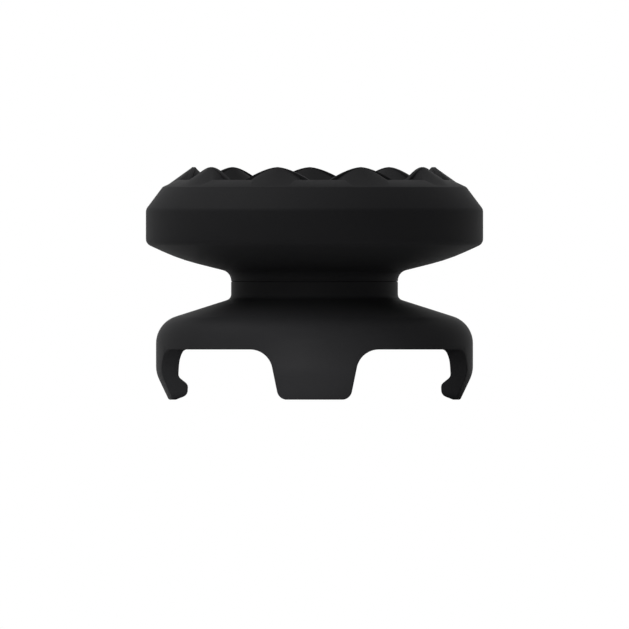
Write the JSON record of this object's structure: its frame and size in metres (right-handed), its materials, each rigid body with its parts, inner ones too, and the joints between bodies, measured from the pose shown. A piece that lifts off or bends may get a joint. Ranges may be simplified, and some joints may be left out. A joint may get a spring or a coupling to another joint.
{
  "type": "controller thumb grip",
  "caption": "Clip-on thumb grip for a game controller's stick: plastic base with hooked claws, waisted neck and wide rubber cap with a crown of raised lobes.",
  "frame": {"origin": "on the grip's axis, level with the tips of the claws that it stands on", "axes": "+Z along the grip's axis from the claws to the crown, -Y towards the claw that faces the front"},
  "size_m": [0.0226, 0.0226, 0.0156],
  "materials": {
    "base_plastic": "fine moulded satin black",
    "cap_rubber": "matte black"
  },
  "bodies": {
    "root": {"clip_base": "base_plastic", "grip_cap": "cap_rubber"}
  },
  "joints": []
}
